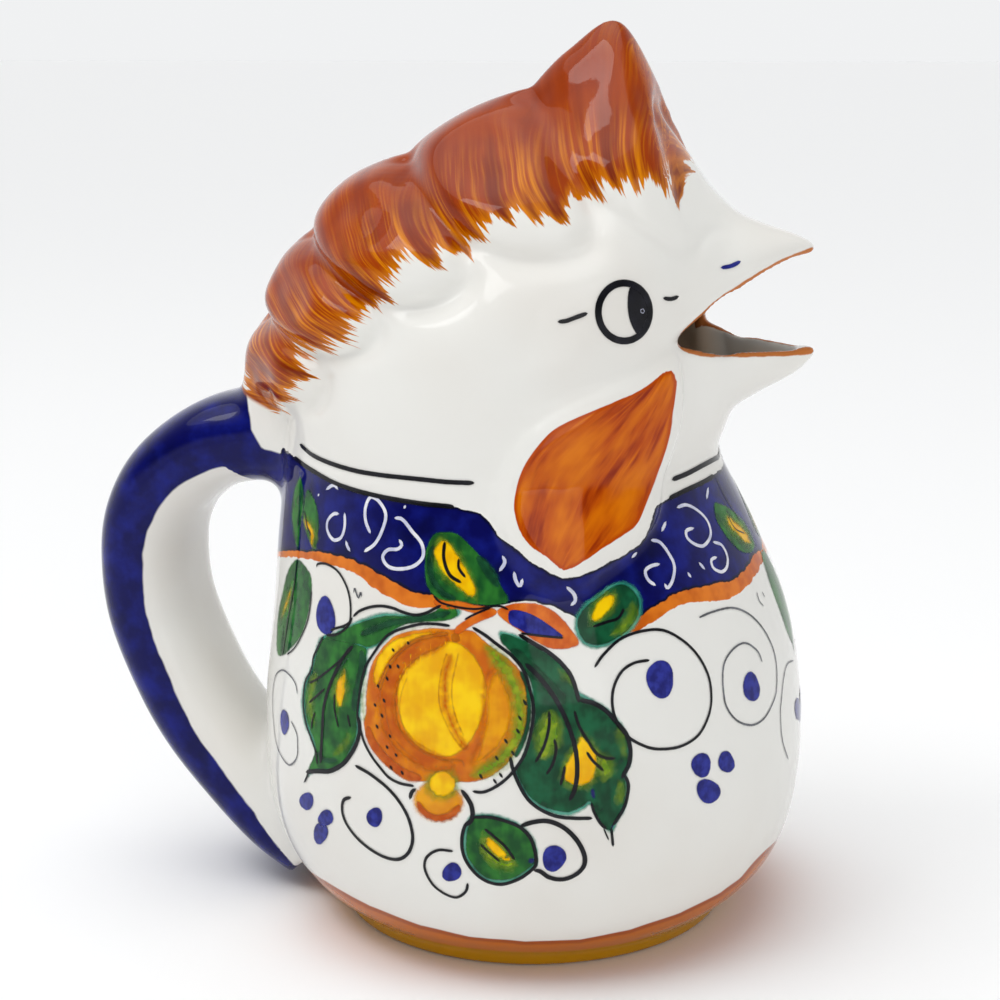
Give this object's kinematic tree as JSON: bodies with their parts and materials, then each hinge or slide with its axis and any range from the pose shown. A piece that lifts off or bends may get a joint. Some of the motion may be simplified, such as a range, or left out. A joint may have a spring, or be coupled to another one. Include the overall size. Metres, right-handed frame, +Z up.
{
  "type": "chicken pitcher",
  "caption": "Glazed earthenware pitcher in the shape of a chicken, with a rounded belly, a lobed comb, wattles and a loop handle; it pours through its open beak.",
  "frame": {"origin": "Middle of the foot's flat underside, on the belly's axis.", "axes": "+X points to the beak, +Y to the chicken's left side, +Z up. The handle is on -X."},
  "size_m": [0.1746, 0.13, 0.2106],
  "materials": {
    "white_glaze": "glossy tin glaze, painted",
    "comb_glaze": "glossy, brushed brown orange",
    "wattle_glaze": "glossy, brushed brown orange on white",
    "handle_glaze": "glossy cobalt blue",
    "foot_glaze": "glossy ochre yellow"
  },
  "bodies": {
    "root": {"foot": "foot_glaze", "body_shell": "white_glaze", "head_shell": "white_glaze", "comb": "comb_glaze", "upper_beak": "white_glaze", "lower_beak": "white_glaze", "wattle_right": "wattle_glaze", "wattle_left": "wattle_glaze", "handle": "handle_glaze"}
  },
  "joints": []
}
